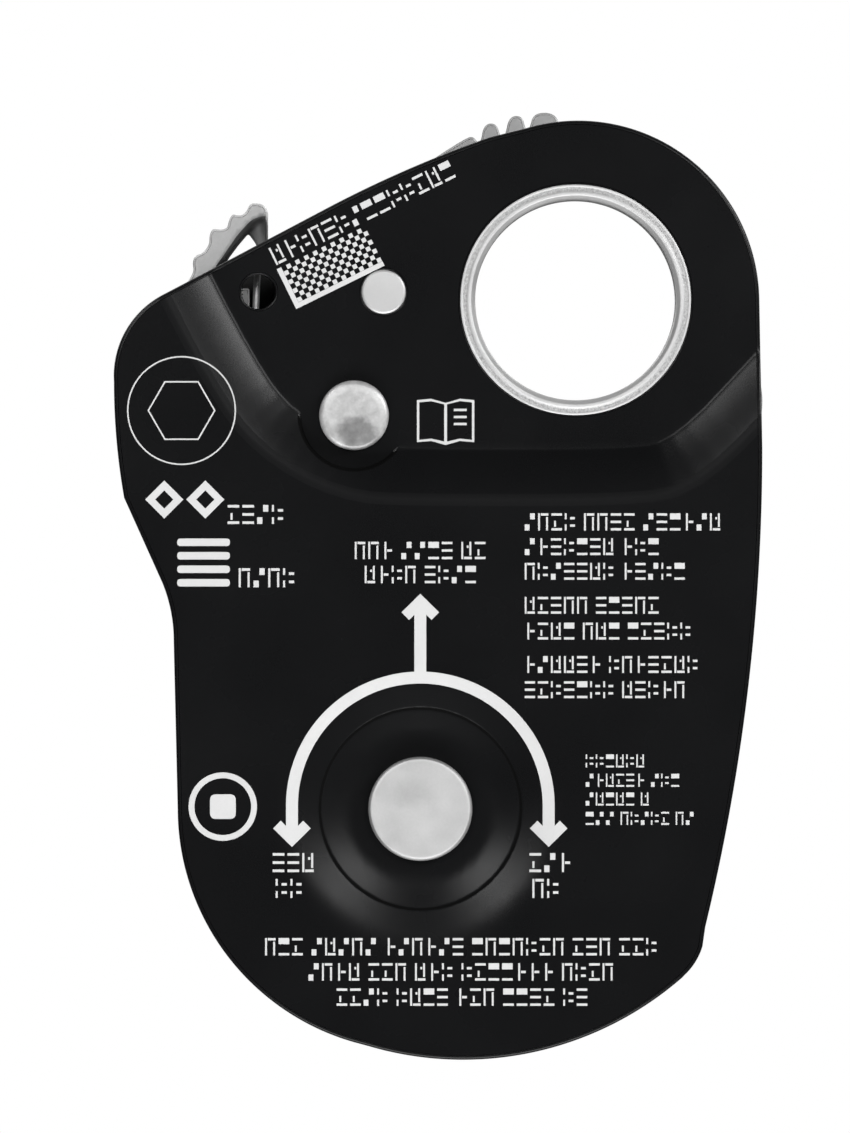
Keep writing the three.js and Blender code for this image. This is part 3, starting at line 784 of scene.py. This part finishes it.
def eye_lining(name, side, body, node):
    """Swaged steel lining: a thin bright rim, a worn flat band, a bright bead and the bore's chamfer."""
    face = MAIN_OUTER - EYE_DEPTH
    section = [
        (8.57, -2.3), (8.57, -0.45), (8.66, -0.2), (8.88, 0.1), (8.98, 0.2), (9.16, 0.2), (9.26, 0.1),
        (9.34, 0.04), (9.62, 0.04), (9.68, 0.1), (9.78, 0.1), (9.87, 0.02), (9.76, -0.05), (9.76, -2.6),
        (8.8, -2.6),
    ]
    profile = [(r, side * (face + y)) for r, y in section[::side]]
    piece = lathe(name, profile, EYE, LINING, body, "rivet_steel", [node], soften=0.05, segments=160)

    def in_worn_band(x, y, z):
        reach = np.hypot(x, z)
        return (reach > 9.28) & (reach < 9.66) & (side * y > face - 0.1)

    def in_bore(x, y, z):
        return (np.hypot(x, z) < 8.92) & (side * y > face - 2.5)

    mark_faces(piece, LINING_ROUGH, in_worn_band)
    mark_faces(piece, LINING_BORE, in_bore)


# --- Print on the rear plate: plain marks in the places of the real ones ---

PRINT_THICKNESS = 0.03
print_verts, print_faces = [], []


def plate_y(points):
    return -(MAIN_OUTER - relief(np.asarray(points, float)))


def stamp(outline, holes=()):
    """Adds one flat mark to the print: a thin solid that follows the plate's relief."""
    loops = [dense(outline, 0.35)] + [dense(h, 0.35) for h in holes]
    flat, edges = [], []
    for loop in loops:
        start = len(flat)
        flat += [Vector(p) for p in loop]
        edges += [(start + i, start + (i + 1) % len(loop)) for i in range(len(loop))]
    out, _, triangles, _, _, _ = delaunay_2d_cdt(flat, edges, [], 0, 1e-7)
    places = np.array([tuple(v) for v in out])
    y = plate_y(places)
    top = len(print_verts)
    print_verts.extend(zip(places[:, 0], y - PRINT_THICKNESS, places[:, 1]))
    bottom = len(print_verts)
    print_verts.extend(zip(places[:, 0], y + PRINT_THICKNESS, places[:, 1]))
    middles = np.array([places[list(t)].mean(0) for t in triangles])
    wanted = [t for t, keep in zip(triangles, inside(middles, loops)) if keep]
    uses = set()
    for a, b, c in wanted:
        print_faces.append((top + a, top + b, top + c))
        print_faces.append((bottom + c, bottom + b, bottom + a))
        for edge in ((a, b), (b, c), (c, a)):
            uses.add(edge)
    for a, b in sorted(uses):
        if (b, a) not in uses:
            print_faces.append((top + b, top + a, bottom + a, bottom + b))


def rectangle(x0, z0, x1, z1):
    return [(x0, z0), (x1, z0), (x1, z1), (x0, z1)]


def placed(points, origin=(0, 0), angle=0.0):
    c, s = math.cos(angle), math.sin(angle)
    return [(origin[0] + x * c - z * s, origin[1] + x * s + z * c) for x, z in points]


# Strokes on a grid four wide and five high: left, bottom, right and top of each.
GLYPHS = (
    ((0, 0, 4, 1), (0, 2, 4, 3), (0, 4, 4, 5)),
    ((0, 0, 1, 5), (1, 4, 4, 5), (3, 0, 4, 4)),
    ((0, 0, 1, 5), (1, 0, 4, 1), (3, 1, 4, 5), (2, 3, 3, 4)),
    ((0, 3, 4, 5), (0, 0, 4, 1)),
    ((0, 0, 2, 2), (2, 3, 4, 5)),
    ((1, 0, 2, 5), (2, 2, 4, 3)),
    ((0, 0, 4, 1), (1, 1, 2, 3), (0, 4, 4, 5)),
    ((0, 0, 1, 2), (0, 3, 1, 5), (2, 1, 4, 2), (2, 3, 4, 4)),
)


def word_row(x0, x1, z_top, z_bottom, seed, origin=(0, 0), angle=0.0, gaps=True):
    """A row of plain stroke patterns of letter size, in groups of word length. It says nothing."""
    chance = random.Random(seed)
    cell = (z_top - z_bottom) / 5
    thin, squeeze, stretch = 0.64, 0.72, 0.78
    x = x0
    left_in_word = chance.randint(3, 7)
    while x < x1 - 2.4 * cell:
        for a, b, c, d in chance.choice(GLYPHS):
            wide, tall = c - a - (1 - thin), d - b - (1 - thin)
            left, bottom = x + a * cell * squeeze, z_bottom + b * cell + (1 - thin) / 2 * cell
            bar = rectangle(left, bottom, left + wide * cell * stretch, bottom + tall * cell)
            stamp(placed(bar, origin, angle))
        x += 3.6 * cell
        left_in_word -= 1
        if gaps and left_in_word == 0:
            x += 1.6 * cell
            left_in_word = chance.randint(3, 7)


def ring_mark(centre, outer, inner):
    stamp(circle(centre, outer, 72), [circle(centre, inner, 72)])


def load_diagram():
    """Arrows for the two rope strands and the pull of the eye, as one outline."""
    middle, half_stroke = 10.95, 0.51
    outer, inner = middle + half_stroke, middle - half_stroke
    x0, z0 = AXLE[0], AXLE[1] + 0.25
    barb = [(half_stroke, 1.79), (0.96, 2.24), (1.6, 1.58)]
    head = [(-x, z) for x, z in barb] + [(0, 0)] + barb[::-1]
    lean = math.degrees(math.asin(half_stroke / outer))
    outline = placed(head, (x0 + middle, z0 - 3.5))
    outline += arc((x0, z0), outer, 0, 90 - lean)
    outline += placed(head, (x0, z0 + 18.1), math.pi)
    outline += arc((x0, z0), outer, 90 + lean, 180)
    outline += placed(head, (x0 - middle, z0 - 3.5))
    outline += arc((x0, z0), inner, 180, 0)
    stamp(outline)


def open_book(centre):
    """A plain open-book pictogram."""
    half_width, low, high, lift, line = 2.45, -2.0, 1.6, 0.35, 0.2
    x, z = centre
    page = [(0, low), (half_width * 0.5, low + lift), (half_width, low + lift * 0.7),
            (half_width, high + lift * 0.7), (half_width * 0.5, high + lift), (0, high)]
    hollow = [(line * 0.6, low + line * 1.5), (half_width * 0.5, low + lift + line),
              (half_width - line, low + lift * 0.7 + line), (half_width - line, high + lift * 0.7 - line),
              (half_width * 0.5, high + lift - line), (line * 0.6, high - line * 0.6)]
    for side in (-1, 1):
        outer, inner = ([(x + side * a, z + b) for a, b in edge[::side]] for edge in (page, hollow))
        stamp(outer, [inner])
    for height in (0.9, 0.3, -0.3):
        stamp(rectangle(x + 0.7, z + height, x + 1.8, z + height + line))


def code_patch(corner, angle, columns=20, rows=9, cell=0.42):
    """A regular checked patch inside a plain border."""
    for row in range(rows):
        for column in range(columns):
            if (row + column) % 2 == 0 or row == 0 or column == 0:
                x, z = column * cell, row * cell
                gap = 0.0 if row == 0 or column == 0 else 0.02
                square = rectangle(x + gap, z + gap, x + cell - gap, z + cell - gap)
                stamp(placed(square, corner, angle))


def print_marks():
    slant = math.radians(26.2)
    word_row(0, 17.7, 1.72, 0, 3, origin=(-25.5, 2.9), angle=slant, gaps=False)
    code_patch((-23.85, -0.79), slant)
    badge = (-33.63, -9.46)
    ring_mark(badge, 4.65, 4.53)
    stamp(circle(badge, 2.9, 6), [circle(badge, 2.76, 6)])
    ring_mark((-30.11, -43.25), 2.92, 2.42)
    stamp(rounded(rectangle(-31.2, -44.3, -29.0, -42.2), 0.5, closed=True))
    for x, z in ((-35.1, -17.05), (-31.6, -17.05)):
        outer, inner = (placed(rectangle(-h, -h, h, h), (x, z), math.radians(45)) for h in (1.15, 0.55))
        stamp(outer, [inner])
    for z in (-20.7, -21.85, -23.0, -24.15):
        stamp(rounded(rectangle(-34.0, z - 0.32, -29.5, z + 0.32), 0.3, closed=True))
    open_book((-11.1, -10.4))
    # The left end, right end, top and bottom of each row of marks.
    rows = [
        (-29.7, -24.1, -17.45, -19.2), (-28.75, -23.2, -22.85, -24.6),
        (-18.85, -7.51, -20.6, -22.2), (-18.0, -8.2, -22.65, -24.25),
        (-4.35, 12.88, -18.17, -19.75), (-4.35, 7.34, -20.3, -21.85), (-4.35, 10.1, -22.4, -23.95),
        (-4.35, 8.1, -25.3, -26.85), (-4.35, 10.3, -27.5, -29.05),
        (-4.35, 10.6, -30.35, -31.9), (-4.35, 10.3, -32.5, -34.05),
        (0.85, 6.3, -38.75, -39.95), (0.85, 9.1, -40.4, -41.6),
        (0.85, 6.5, -42.0, -43.2), (0.85, 10.5, -43.65, -44.85),
        (-25.85, -22.45, -47.15, -48.9), (-25.6, -22.5, -49.35, -51.1),
        (-3.95, -0.55, -47.15, -48.9), (-3.7, -0.7, -49.35, -51.1),
        (-26.5, 7.1, -54.4, -56.0), (-22.8, 3.2, -56.55, -58.15), (-20.4, 1.4, -58.7, -60.3),
    ]
    for seed, (x0, x1, z_top, z_bottom) in enumerate(rows):
        word_row(x0, x1, z_top, z_bottom, seed)
    load_diagram()
    new_piece("plate_print", print_verts, print_faces, INK, "root", smooth=False)


# --- Cam, spring and button ---


def cam_piece():
    half = y_range("cam")[1]
    pocket = dense(rounded(LEVER_POCKET, 0.5, closed=True), 0.3)
    opening = dense(rounded(LEVER_OPENING, 0.25, closed=True), 0.25)[::-1]

    def rear_face(points):
        from_hub = np.linalg.norm(points - np.array(CAM_PIVOT), axis=1)
        hub = 1.2 * (1 - np.clip((from_hub - 6.6) / 0.25, 0, 1))
        within = np.where(inside(points, [pocket]), distance_to_loop(points, pocket), 0)
        lower = np.clip((3.4 - points[:, 1]) / 0.8, 0, 1)
        return -half + np.maximum(hub, np.minimum(within * (2.2 + 6 * lower), 1.3 + 3.0 * lower))

    def front_face(points):
        from_button = np.linalg.norm(points - np.array(BUTTON), axis=1)
        return half - 0.5 * (1 - np.clip((from_button - 2.3) / 0.3, 0, 1))

    inner = inward_normals(pocket)
    creases = [circle(CAM_PIVOT, r, 130) for r in (6.5, 6.62, 6.84, 6.95)]
    creases += [circle(BUTTON, 2.3, 50), circle(BUTTON, 2.6, 50)]
    creases += [pocket, pocket + inner * 0.25, pocket + inner * 0.55]
    holes = [opening, hole(CAM_PIVOT, 3.4), hole(BUTTON, 2.0)]
    mesh = sheet_mesh(dense(cam_outline(), 0.25), holes, rear_face, front_face, [0.15] * 4, creases,
                      spacing=0.4, rim=0.05)
    body = new_piece("cam_body", *mesh, CAST, "cam", "cast_steel", ["cam"])
    add_weighted_normals(body)
    x, y, z = face_middles(body).T
    in_pocket = inside(np.stack([x, z], axis=1), [pocket]) & (y > 0.12 - half) & (y < half - 0.8)
    deep = in_pocket & (y > 1.6 - half) & (z < 3.3)
    # Painted shadow on the deep floor of the pocket, painted shade on the rest of it.
    body.data.materials.append(CAST_PAINTED_SHADOW)
    body.data.materials.append(CAST_SHADE)
    for polygon, shaded, dark in zip(body.data.polygons, in_pocket, deep):
        polygon.material_index = 1 if dark else 2 if shaded else 0
    low = y_range("cam")[0]
    post = rounded(rectangle(-28.7, -0.6, -27.85, 1.0), 0.2, closed=True)
    finger = sheet_mesh(dense(post, 0.15), [], level(low), level(1.4), [0.12], spacing=0.3, rim=0.04)
    new_piece("cam_spring_finger", *finger, CAST, "cam", "cast_steel")


def torsion_spring():
    coil_radius, wire_radius = 4.75, 0.3
    fixed_y, moving_y, coil_deg = -2.95, -4.45, 855
    hook = 2.22
    points = [(x, fixed_y, z) for x, z in arc(STOP_PIN, hook, 80, 10, step=0.9)]
    edge = CAM_PIVOT[0] + coil_radius
    points += [(edge, fixed_y, STOP_PIN[1] - 1), (edge, fixed_y, STOP_PIN[1] - 5)]
    steps = 72
    for i in range(steps + 1):
        a = -math.radians(coil_deg) * i / steps
        y = fixed_y + (moving_y - fixed_y) * i / steps
        x, z = CAM_PIVOT[0] + coil_radius * math.cos(a), CAM_PIVOT[1] + coil_radius * math.sin(a)
        points.append((x, y, z))
    leg = [(-25.9, -9.6), (-27.1, -8.0), (-27.45, -6.5), (-27.42, -3.0), (-27.15, 3.2)]
    points += [(x, moving_y, z) for x, z in leg]
    piece = new_piece("cam_torsion_spring", *tube_mesh(spline(points, 4), wire_radius), SPRING, None,
                      "spring_steel", ["cam_spring"])
    x, z = CAM_PIVOT
    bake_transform(piece)


def button_pieces():
    low, high = y_range("hold_open_button")
    profile = [(0, low), (0.7, low), (0.9, low + 0.25), (0.9, 1.5), (1.85, 1.5), (1.85, high - 0.6),
               (1.5, high - 0.15), (0, high)]
    lathe("button_plunger", profile, BUTTON, BEARING, "button", "bearing_steel", ["hold_open_button"],
          segments=64)
    turns, per_turn, radius = 4, 32, 1.43
    y0, y1 = -2.05, 1.25
    points = []
    for i in range(turns * per_turn + 1):
        a = 2 * math.pi * i / per_turn
        y = y0 + (y1 - y0) * i / (turns * per_turn)
        points.append((BUTTON[0] + radius * math.cos(a), y, BUTTON[1] + radius * math.sin(a)))
    spring = new_piece("button_return_spring", *tube_mesh(points, 0.15, 8), SPRING, "cam", "spring_steel",
                       ["button_spring"])
    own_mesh(spring)
    low, high = y_range("button_clip")
    clip = ring_profile(0.7, 1.35, low, high)
    lathe("button_retaining_clip", clip, BUTTON, SPRING, "button", "spring_steel", ["button_clip"],
          soften=0.1, segments=48)


# --- Turned pieces ---


def axles_and_pins():
    low, high = y_range("sheave_axle")
    profile = [(0, low), (4.1, low), (4.3, low + 0.06), (4.44, low + 0.25), (4.44, low + 1.0),
               (4.0, low + 1.0), (4.0, high - 0.9), (6.0, high - 0.9), (6.0, high - 0.35),
               (5.6, high - 0.05), (3.2, high), (3.0, high - 0.25), (0, high - 0.25)]
    pin = lathe("axle_pin", profile, AXLE, RIVET_AXLE, "root", "rivet_steel", ["sheave_axle"], soften=0.07)
    # The rim of the axle pin's head gets the painted shade.
    mark_faces(pin, RIVET_EDGE_PAINTED_SHADE, lambda x, y, z: (y < low + 1) & (np.hypot(x - AXLE[0], z - AXLE[1]) > 4.2))
    low, high = y_range("cam_axle")
    profile = [(0, low), (1.3, low + 0.02), (2.2, low + 0.07), (2.7, low + 0.17), (2.93, low + 0.38),
               (3.0, low + 0.75), (2.5, low + 0.8), (2.5, 3.7), (3.6, 3.7), (3.6, 4.8), (2.5, 4.8),
               (2.5, 7.7), (3.4, 7.7), (3.4, high - 0.4), (3.0, high), (1.2, high), (1.0, high - 0.2),
               (0, high - 0.2)]
    lathe("cam_axle_pin", profile, CAM_PIVOT, RIVET_CAM, "root", "rivet_steel", ["cam_axle"], soften=0.12)
    low, high = y_range("stop_pin")
    profile = [(0, low), (1.72, low), (1.87, low + 0.12), (1.87, high - 0.3), (1.6, high), (0, high)]
    lathe("stop_pin_body", profile, STOP_PIN, RIVET, "root", "rivet_steel", ["stop_pin"], soften=0.03,
          segments=64)


def sheave_pieces():
    half = [
        (4.4, 9.6), (4.4, 12.4), (6.4, 13.0), (6.4, 16.6), (6.15, 16.95), (5.95, 16.95), (5.6, 16.5),
        (4.9, 14.6), (4.1, 13.25), (3.0, 12.6), (1.5, 12.5),
    ]
    front = [(r, y) for y, r in half][::-1]
    rear = [(r, -y) for y, r in half]
    bore = [(9.55, 4.2), (9.55, 3.6), (10.1, 3.6), (10.1, 3.05), (9.55, 3.05), (9.55, -3.05), (8.8, -3.05),
            (8.8, -4.2), (9.0, -4.4)]
    lathe("sheave_wheel", rear + front + bore, AXLE, SHEAVE, "sheave", "sheave_aluminium", ["sheave"],
          soften=0.2, segments=160)
    for name, node, inner, material, slot, body in (
        ("spacer_rear", "rear_spacer", 4.1, BEARING, "bearing_steel", "root"),
        ("spacer_front", "front_spacer", 4.1, BEARING, "bearing_steel", "root"),
        ("seal_rear", "bearing_seal_rear", 5.65, RUBBER, "seal_rubber", "sheave"),
        ("seal_front", "bearing_seal_front", 5.65, RUBBER, "seal_rubber", "sheave"),
        ("swing_bush", "swing_plate_bush", 4.1, BRONZE, "bush_bronze", "swing_plate"),
        ("axle_friction_washer", "friction_washer", 4.1, SPRING, "spring_steel", "root"),
    ):
        low, high = y_range(node)
        outer = (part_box(node)[1].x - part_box(node)[0].x) / 2 / MM
        lathe(name, ring_profile(inner, outer, low, high), AXLE, material, body, slot, [node], soften=0.09)
    low, high = y_range("cam_bush")
    lathe("cam_pivot_bush", ring_profile(2.6, 3.3, low, high), CAM_PIVOT, BRONZE, "cam", "bush_bronze",
          ["cam_bush"])
    low, high = y_range("sheave_retaining_ring")
    loop = arc(AXLE, 10.0, -75, 255) + arc(AXLE, 8.7, 255, -75)
    mesh = sheet_mesh(dense(loop, 0.4), [], level(low), level(high), [0.08])
    new_piece("bearing_snap_ring", *mesh, SPRING, "sheave", "spring_steel", ["sheave_retaining_ring"])


def race_profile(plain, land):
    pitch, groove, half = 6.75, 1.65, 3.0
    side = math.copysign(1, land - pitch)
    reach = math.acos(abs(land - pitch) / groove)
    points = [(plain, half), (plain, -half), (land, -half)]
    for i in range(13):
        a = reach * (i / 6 - 1)
        points.append((pitch + side * groove * math.cos(a), groove * math.sin(a)))
    points.append((land, half))
    return points if plain < land else points[::-1]


BALL_RADIUS = 1.5875


def bearing_pieces():
    lathe("race_inner", race_profile(4.05, 5.5), AXLE, BEARING, "root", "bearing_steel",
          ["bearing_inner_race"])
    lathe("race_outer", race_profile(9.5, 8.0), AXLE, BEARING, "sheave", "bearing_steel",
          ["bearing_outer_race"])
    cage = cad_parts["bearing_cage"].data
    cage.materials.clear()
    cage.materials.append(BRASS)
    for i in range(8):
        node = f"bearing_ball_{i + 1}"
        x, z = centre_of(node)
        steps = np.radians(range(-90, 91, 10))
        profile = [(BALL_RADIUS * math.cos(a), BALL_RADIUS * math.sin(a)) for a in steps]
        profile[0], profile[-1] = (0, -BALL_RADIUS), (0, BALL_RADIUS)
        mesh = lathe_mesh(profile, (x, z), 36)
        new_piece(f"ball_{i + 1}", *mesh, BEARING, "ball_set", "bearing_steel", [node])


# --- Studio ---


def studio():
    middle = (CAD_LOW + CAD_HIGH) / 2
    camera = add_object("camera", bpy.data.cameras.new("camera"))
    camera.data.lens = 1000
    camera.data.sensor_width = 36
    frame_height = 0.09665
    distance = frame_height * camera.data.lens / camera.data.sensor_width
    camera.location = (middle.x - 0.0012, CAD_LOW.y - distance, middle.z + 0.0016)
    camera.rotation_euler = (math.radians(90), 0, 0)
    camera.data.clip_end = 20
    bpy.context.scene.camera = camera

    floor_mesh = bpy.data.meshes.new("floor")
    size, level = 4, CAD_LOW.z - 1
    corners = [(-size, -size, level), (size, -size, level), (size, size, level), (-size, size, level)]
    floor_mesh.from_pydata(corners, [], [(0, 1, 2, 3)])
    floor = add_object("floor", floor_mesh)
    floor_look = surface("floor", grey(0.88), grey(0.9), 0.8, 0.0, grain=300, bump=0.02, blotch=4)
    floor_mesh.materials.append(floor_look)

    def softbox(name, place, size_x, size_y, power):
        light = bpy.data.lights.new(name, "AREA")
        light.shape = "RECTANGLE"
        light.size, light.size_y = size_x, size_y
        light.energy = power
        lamp = add_object(name, light)
        lamp.visible_camera = False
        lamp.location = middle + Vector(place)
        lamp.rotation_euler = (-Vector(place)).to_track_quat("-Z", "Y").to_euler()

    for side in (-1, 1):
        softbox("inner_softbox", (side * 0.287, -0.69, 0.249), 0.23, 0.23, 1.75)
        softbox("back_softbox", (side * 0.5, 0.6, 0.3), 0.5, 0.5, 3)
    softbox("right_softbox", (0.645, -0.34, 0.35), 0.28, 0.28, 5.2)
    softbox("left_softbox", (-0.53, -0.34, 0.51), 0.28, 0.28, 2.4)
    softbox("low_softbox", (0, -0.40, -0.69), 0.9, 0.4, 11)
    softbox("floor_fill", (0, 0.6, 0.9), 1.5, 1.5, 8)

    world = bpy.data.worlds.new("studio")
    bpy.context.scene.world = world
    world.use_nodes = True
    tree = world.node_tree
    sky = tree.nodes["Background"]
    direction = add_node(tree, "TexCoord").outputs["Generated"]
    behind = add_node(tree, "SeparateXYZ", {"Vector": direction}).outputs["Y"]
    tree.links.new(smooth_range(tree, behind, -0.75, 0.3, 0.04, 0.6), sky.inputs["Strength"])
    backdrop = add_node(tree, "Background", {"Strength": 1.0, "Color": (1, 1, 1, 1)})
    is_camera = add_node(tree, "LightPath").outputs["Is Camera Ray"]
    shaders = {"Fac": is_camera, 1: sky.outputs["Background"], 2: backdrop.outputs["Background"]}
    choose = add_node(tree, "MixShader", shaders)
    tree.links.new(choose.outputs["Shader"], tree.nodes["World Output"].inputs["Surface"])
    bpy.context.scene.view_settings.view_transform = "Standard"


studio()
rear_plate()
swing_plate()
eye_lining("eye_lining_rear", -1, "root", "rear_eye_bush")
eye_lining("eye_lining_front", 1, "swing_plate", "swing_eye_bush")
print_marks()
cam_piece()
torsion_spring()
button_pieces()
axles_and_pins()
sheave_pieces()
bearing_pieces()
